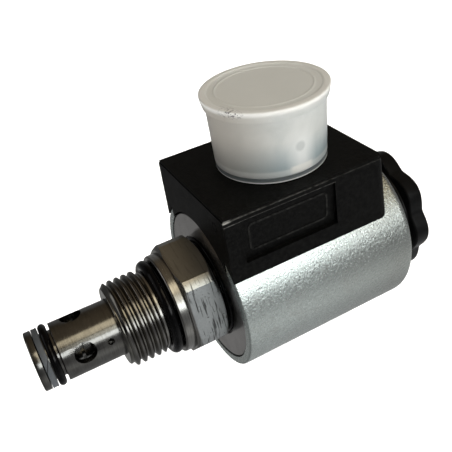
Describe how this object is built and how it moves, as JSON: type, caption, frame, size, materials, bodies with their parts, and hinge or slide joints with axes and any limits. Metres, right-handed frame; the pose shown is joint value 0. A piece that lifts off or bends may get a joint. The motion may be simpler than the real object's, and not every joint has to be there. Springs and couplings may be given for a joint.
{
  "type": "solenoid directional valve",
  "caption": "Screw-in solenoid cartridge valve: ported nose, threaded hex body, round coil with a connector block under a plastic cap, and a lobed nut that holds the coil.",
  "frame": {"origin": "on the valve axis at the collar's seat face, which rests on the manifold", "axes": "+X along the valve axis from the nose towards the coil nut, +Z towards the connector, -Y towards the name plate recess"},
  "size_m": [0.0851, 0.036, 0.0569],
  "materials": {
    "hex_steel": "turned and milled steel, dark zinc-iron finish with bright edges",
    "turned_steel": "fine turned steel, lightly oiled",
    "ground_steel": "ground and polished steel",
    "zinc_shell": "zinc-plated drawn steel with a fine mottled spangle",
    "plate_steel": "stamped steel disc, dull warm grey",
    "spring_steel": "drawn spring wire",
    "brass": "machined brass",
    "tinned_contact": "tin-plated contact",
    "copper_wire": "enamelled copper winding",
    "black_moulding": "satin black glass-filled plastic, worn edges",
    "natural_nylon": "natural nylon",
    "cap_plastic": "milky translucent polyethylene",
    "seal_rubber": "oiled black rubber",
    "backup_plastic": "blue-grey backup ring plastic"
  },
  "bodies": {
    "cartridge": {"hex_body": "hex_steel", "valve_sleeve": "turned_steel", "nose_o_ring": "seal_rubber", "nose_backup_ring": "backup_plastic", "collar_o_ring": "seal_rubber", "core_tube": "turned_steel", "nonmagnetic_ring": "brass", "pole_piece": "turned_steel", "anti_stick_shim": "natural_nylon"},
    "armature": {"armature": "turned_steel", "pilot_pin": "ground_steel", "return_spring": "spring_steel"},
    "poppet": {"main_poppet": "ground_steel", "pilot_seat": "brass"},
    "coil": {"coil_shell": "zinc_shell", "front_pole_plate": "plate_steel", "bobbin": "natural_nylon", "winding": "copper_wire", "terminal_housing": "black_moulding", "contact_blade_front": "tinned_contact", "contact_blade_rear": "tinned_contact", "earth_blade": "tinned_contact", "winding_lead_front": "copper_wire", "winding_lead_rear": "copper_wire", "coil_front_o_ring": "seal_rubber"},
    "cap": {"connector_cap": "cap_plastic"},
    "rear_seal": {"coil_rear_o_ring": "seal_rubber"},
    "nut": {"coil_nut": "black_moulding", "nut_insert": "brass"}
  },
  "joints": [
    {"name": "armature_slide", "type": "slide", "parent": "cartridge", "child": "armature", "axis": [1, 0, 0], "range_m": [0, 0.002], "stiffness_N_per_m": 800, "springref_m": -0.006, "deforming": ["return_spring"]},
    {"name": "poppet_slide", "type": "slide", "parent": "cartridge", "child": "poppet", "axis": [1, 0, 0], "range_m": [0, 0.00165]},
    {"name": "coil_swivel", "type": "hinge", "parent": "cartridge", "child": "coil", "pos_m": [0.03, 0, 0], "axis": [1, 0, 0], "continuous": true},
    {"name": "cap_pull", "type": "slide", "parent": "coil", "child": "cap", "axis": [0, 0, 1], "range_m": [0, 0.014]},
    {"name": "nut_advance", "type": "slide", "parent": "cartridge", "child": "rear_seal", "axis": [1, 0, 0], "range_m": [0, 0.004]},
    {"name": "nut_turn", "type": "hinge", "parent": "rear_seal", "child": "nut", "pos_m": [0.053, 0, 0], "axis": [1, 0, 0], "range_deg": [0, 1441]}
  ],
  "couplings": [
    {"joint": "poppet_slide", "follows": "armature_slide", "ratio": 0.8},
    {"joint": "nut_turn", "follows": "nut_advance", "rad_per_m": 6283.2}
  ]
}
